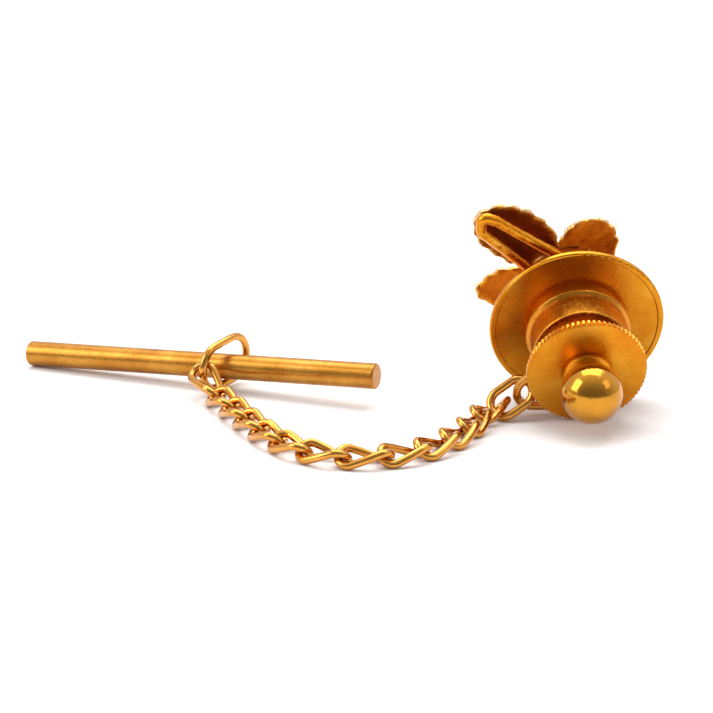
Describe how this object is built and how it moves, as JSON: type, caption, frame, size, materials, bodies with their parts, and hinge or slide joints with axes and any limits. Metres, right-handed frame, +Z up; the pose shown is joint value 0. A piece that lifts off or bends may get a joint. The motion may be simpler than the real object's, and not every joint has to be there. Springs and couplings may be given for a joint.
{
  "type": "tie tack",
  "caption": "Tie tack lying with its clutch on: leaf ornament and pin post, ball-finial clutch with a knurled knob, curb chain and T-bar for a buttonhole.",
  "frame": {"origin": "middle of the whole object's footprint, on the table it lies on", "axes": "+X along the object's longest extent, from the T-bar to the clutch; +Z up from the table"},
  "size_m": [0.0414, 0.0224, 0.013],
  "materials": {
    "gold_plate": "polished and satin",
    "steel": "ground"
  },
  "bodies": {
    "clutch": {"flange": "gold_plate", "barrel": "gold_plate", "taper_bush": "steel"},
    "spring_seat": {"thrust_washer": "steel", "return_spring": "steel"},
    "knob": {"knob_disc": "gold_plate", "neck_collar": "gold_plate", "ball_finial": "gold_plate", "plunger_shank": "gold_plate", "ball_cage": "gold_plate", "lock_balls": "steel"},
    "tack": {"leaf_long": "gold_plate", "leaf_upper": "gold_plate", "leaf_left": "gold_plate", "leaf_lower": "gold_plate", "leaf_right": "gold_plate", "centre_boss": "gold_plate", "centre_beads": "gold_plate", "stem_loop": "gold_plate", "solder_pad": "gold_plate", "post": "gold_plate"},
    "swivel_ring": {"swivel_ring": "gold_plate"},
    "end_link": {"end_link": "gold_plate"},
    "curb_link_01": {"curb_link_01": "gold_plate"},
    "curb_link_02": {"curb_link_02": "gold_plate"},
    "curb_link_03": {"curb_link_03": "gold_plate"},
    "curb_link_04": {"curb_link_04": "gold_plate"},
    "curb_link_05": {"curb_link_05": "gold_plate"},
    "curb_link_06": {"curb_link_06": "gold_plate"},
    "curb_link_07": {"curb_link_07": "gold_plate"},
    "curb_link_08": {"curb_link_08": "gold_plate"},
    "curb_link_09": {"curb_link_09": "gold_plate"},
    "curb_link_10": {"curb_link_10": "gold_plate"},
    "curb_link_11": {"curb_link_11": "gold_plate"},
    "curb_link_12": {"curb_link_12": "gold_plate"},
    "curb_link_13": {"curb_link_13": "gold_plate"},
    "bar_ring": {"bar_ring": "gold_plate"},
    "bar": {"t_bar": "gold_plate"}
  },
  "joints": [
    {"name": "knob_pull", "type": "slide", "parent": "clutch", "child": "spring_seat", "axis": [0.0474, -0.9356, -0.3498], "range_m": [0, 0.0008], "stiffness_N_per_m": 600, "springref_m": -0.0005, "deforming": ["return_spring"]},
    {"name": "knob_spin", "type": "hinge", "parent": "spring_seat", "child": "knob", "pos_m": [0.01524, 0.00192, 0.0052], "axis": [0.0474, -0.9356, -0.3498], "continuous": true},
    {"name": "tack_pull", "type": "slide", "parent": "clutch", "child": "tack", "axis": [-0.0474, 0.9356, 0.3498], "range_m": [0, 0.0092]},
    {"name": "ring_swivel", "type": "hinge", "parent": "clutch", "child": "swivel_ring", "pos_m": [0.01542, -0.00173, 0.00384], "axis": [0.0474, -0.9356, -0.3498], "continuous": true},
    {"name": "end_link_swing", "type": "hinge", "parent": "swivel_ring", "child": "end_link", "pos_m": [0.01134, -0.00113, 0.00168], "axis": [0.0177, -0.3494, 0.9368], "range_deg": [-9, 42]},
    {"name": "chain_joint_01", "type": "hinge", "parent": "end_link", "child": "curb_link_01", "pos_m": [0.00984, -0.00138, 0.0007], "axis": [0, 0, 1], "range_deg": [-12, 8]},
    {"name": "chain_joint_02", "type": "hinge", "parent": "curb_link_01", "child": "curb_link_02", "pos_m": [0.009, -0.00258, 0.00061], "axis": [0, 0, -1], "range_deg": [-12, 17]},
    {"name": "chain_joint_03", "type": "hinge", "parent": "curb_link_02", "child": "curb_link_03", "pos_m": [0.00814, -0.00493, 0.00061], "axis": [0, 0, 1], "range_deg": [-16, 26]},
    {"name": "chain_joint_04", "type": "hinge", "parent": "curb_link_03", "child": "curb_link_04", "pos_m": [0.00697, -0.00714, 0.00061], "axis": [0, 0, -1], "range_deg": [-29, 13]},
    {"name": "chain_joint_05", "type": "hinge", "parent": "curb_link_04", "child": "curb_link_05", "pos_m": [0.00533, -0.00903, 0.00061], "axis": [0, 0, 1], "range_deg": [-8, 34]},
    {"name": "chain_joint_06", "type": "hinge", "parent": "curb_link_05", "child": "curb_link_06", "pos_m": [0.00312, -0.0102, 0.00061], "axis": [0, 0, -1], "range_deg": [-36, 6]},
    {"name": "chain_joint_07", "type": "hinge", "parent": "curb_link_06", "child": "curb_link_07", "pos_m": [0.00063, -0.01033, 0.00061], "axis": [0, 0, 1], "range_deg": [-4, 38]},
    {"name": "chain_joint_08", "type": "hinge", "parent": "curb_link_07", "child": "curb_link_08", "pos_m": [-0.00162, -0.00923, 0.00061], "axis": [0, 0, -1], "range_deg": [-35, 7]},
    {"name": "chain_joint_09", "type": "hinge", "parent": "curb_link_08", "child": "curb_link_09", "pos_m": [-0.00326, -0.00735, 0.00061], "axis": [0, 0, 1], "range_deg": [-14, 28]},
    {"name": "chain_joint_10", "type": "hinge", "parent": "curb_link_09", "child": "curb_link_10", "pos_m": [-0.00447, -0.00516, 0.00061], "axis": [0, 0, -1], "range_deg": [-24, 18]},
    {"name": "chain_joint_11", "type": "hinge", "parent": "curb_link_10", "child": "curb_link_11", "pos_m": [-0.00549, -0.00288, 0.00061], "axis": [0, 0, 1], "range_deg": [-20, 22]},
    {"name": "chain_joint_12", "type": "hinge", "parent": "curb_link_11", "child": "curb_link_12", "pos_m": [-0.00647, -0.00058, 0.00061], "axis": [0, 0, -1], "range_deg": [-21, 21]},
    {"name": "chain_joint_13", "type": "hinge", "parent": "curb_link_12", "child": "curb_link_13", "pos_m": [-0.00744, 0.00172, 0.00061], "axis": [-0.8499, -0.527, 0], "range_deg": [-6, 24]},
    {"name": "bar_ring_swing", "type": "hinge", "parent": "curb_link_13", "child": "bar_ring", "pos_m": [-0.00842, 0.0033, 0.00152], "axis": [-0.0377, -0.1246, 0.9915], "range_deg": [-24, 30]},
    {"name": "bar_toggle", "type": "hinge", "parent": "bar_ring", "child": "bar", "pos_m": [-0.00712, 0.00512, 0.00153], "axis": [0, 0, 1], "range_deg": [-24, 15]}
  ]
}
